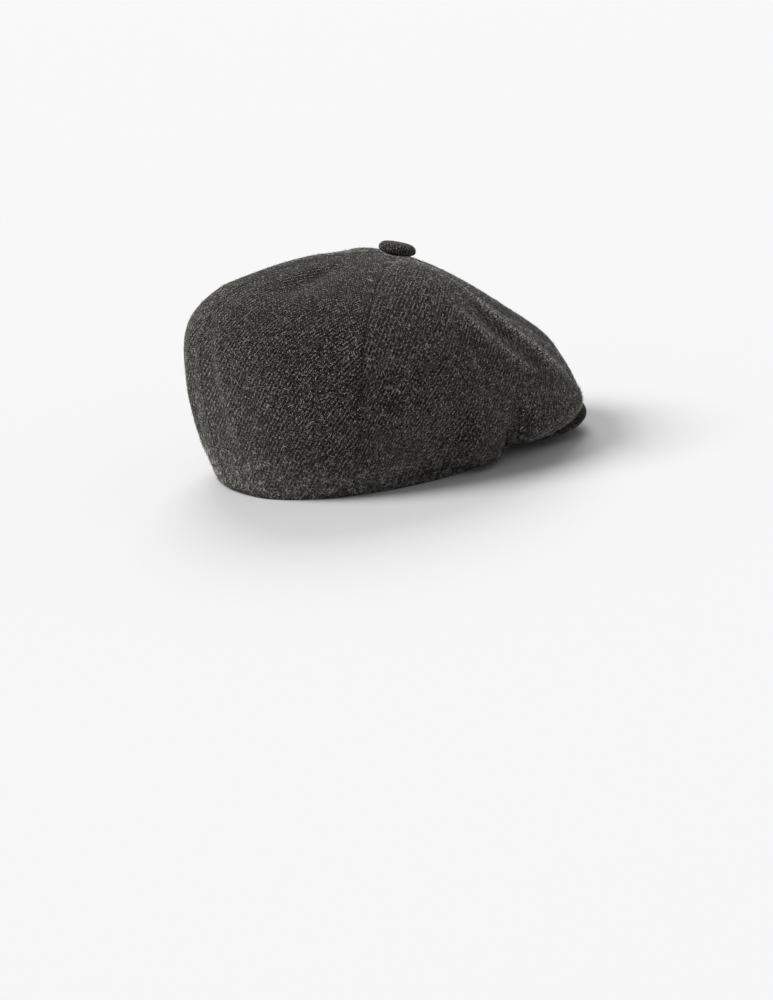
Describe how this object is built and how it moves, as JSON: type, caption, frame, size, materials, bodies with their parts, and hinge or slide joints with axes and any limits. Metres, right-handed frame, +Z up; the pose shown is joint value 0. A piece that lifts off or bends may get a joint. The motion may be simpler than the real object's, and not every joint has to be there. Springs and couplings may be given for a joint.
{
  "type": "flat cap",
  "caption": "Full, soft flat cap in charcoal wool twill, its crown cut in gores round a covered button and flopping over a short stiff peak.",
  "frame": {"origin": "middle of the cap's bounding box in plan, on the plane that its hem rests on", "axes": "+X towards the peak, +Y towards the wearer's left, +Z up from the hem to the button"},
  "size_m": [0.278, 0.2098, 0.1487],
  "materials": {
    "crown_twill": "heathered charcoal wool twill, napped",
    "peak_twill": "the same twill drawn tight over a stiff board",
    "button_twill": "the same twill drawn over a padded disc"
  },
  "bodies": {
    "root": {"gore_front_left": "crown_twill", "gore_front_right": "crown_twill", "gore_side_left": "crown_twill", "gore_side_right": "crown_twill", "gore_back_left": "crown_twill", "gore_back_right": "crown_twill", "peak": "peak_twill", "button": "button_twill"}
  },
  "joints": []
}
